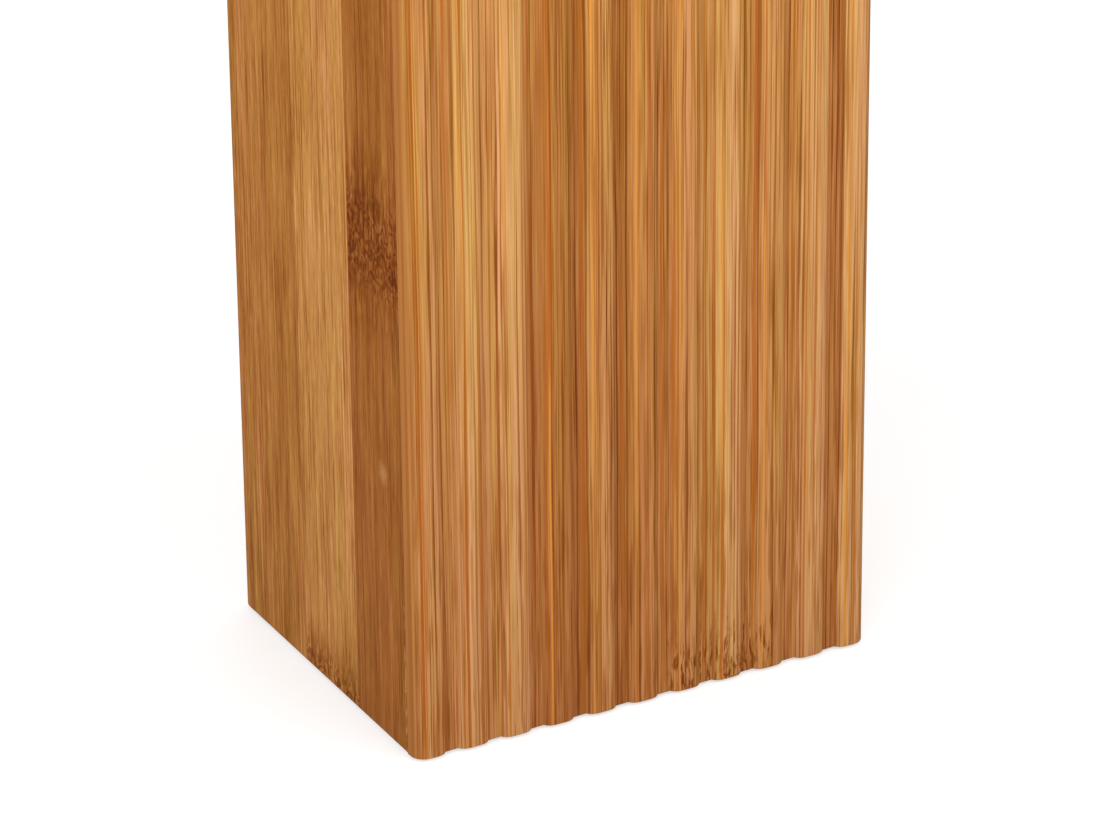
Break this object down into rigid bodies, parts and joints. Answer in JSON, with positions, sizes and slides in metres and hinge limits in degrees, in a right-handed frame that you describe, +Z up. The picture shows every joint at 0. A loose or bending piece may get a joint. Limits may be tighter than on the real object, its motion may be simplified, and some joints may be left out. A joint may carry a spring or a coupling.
{
  "type": "soap dispenser",
  "caption": "Rectangular bamboo pump dispenser with a ribbed front board, an inner liquid bottle and a screw-on press pump with a bent spout.",
  "frame": {"origin": "middle of the pump's axis on the underside of the foam pad, which is the surface that the dispenser stands on", "axes": "+Z up along the pump's axis, -Y towards the fluted front and the way the spout points at rest, +X to the right as seen from the front"},
  "size_m": [0.0766, 0.0797, 0.182],
  "materials": {
    "bamboo_front": "satin clear lacquer on side-pressed bamboo",
    "bamboo_side": "satin clear lacquer on flat-pressed bamboo",
    "black_foam": "closed-cell foam sheet",
    "liner_plastic": "milky blow-moulded plastic",
    "pump_plastic": "natural moulded plastic",
    "tube_plastic": "natural extruded plastic",
    "gasket_rubber": "soft rubber",
    "satin_steel": "satin brushed stainless steel",
    "bright_steel": "bright steel wire and balls"
  },
  "bodies": {
    "case": {"front_board": "bamboo_front", "back_board": "bamboo_side", "left_board": "bamboo_side", "right_board": "bamboo_side", "top_board": "bamboo_side", "base_board": "bamboo_side", "base_pad": "black_foam", "liner_bottle": "liner_plastic"},
    "pump": {"pump_housing": "pump_plastic", "housing_cap": "pump_plastic", "neck_gasket": "gasket_rubber", "dip_tube": "tube_plastic", "pump_spring": "bright_steel"},
    "inlet_ball": {"inlet_ball": "bright_steel"},
    "collar": {"collar_nut": "pump_plastic", "collar_cover": "satin_steel"},
    "stem": {"piston_stem": "pump_plastic", "piston_seal": "pump_plastic"},
    "outlet_ball": {"outlet_ball": "bright_steel"},
    "head": {"head_core": "pump_plastic", "head_cap": "satin_steel", "stem_sleeve": "satin_steel", "spout_tube": "satin_steel", "spout_tip": "pump_plastic"}
  },
  "joints": [
    {"name": "pump_lift_off", "type": "slide", "parent": "case", "child": "pump", "axis": [0, 0, 1], "range_m": [0, 0.14]},
    {"name": "collar_unscrew", "type": "hinge", "parent": "pump", "child": "collar", "pos_m": [0, 0, 0.1358], "axis": [0, 0, 1], "range_deg": [0, 540]},
    {"name": "pump_press", "type": "slide", "parent": "pump", "child": "stem", "axis": [0, 0, -1], "range_m": [0, 0.012], "stiffness_N_per_m": 600, "springref_m": -0.008, "deforming": ["pump_spring"]},
    {"name": "head_swivel", "type": "hinge", "parent": "stem", "child": "head", "pos_m": [0, 0, 0.1734], "axis": [0, 0, 1], "continuous": true},
    {"name": "inlet_ball_lift", "type": "slide", "parent": "pump", "child": "inlet_ball", "axis": [0, 0, 1], "range_m": [0, 0.0012]},
    {"name": "outlet_ball_lift", "type": "slide", "parent": "stem", "child": "outlet_ball", "axis": [0, 0, 1], "range_m": [0, 0.0008]}
  ]
}
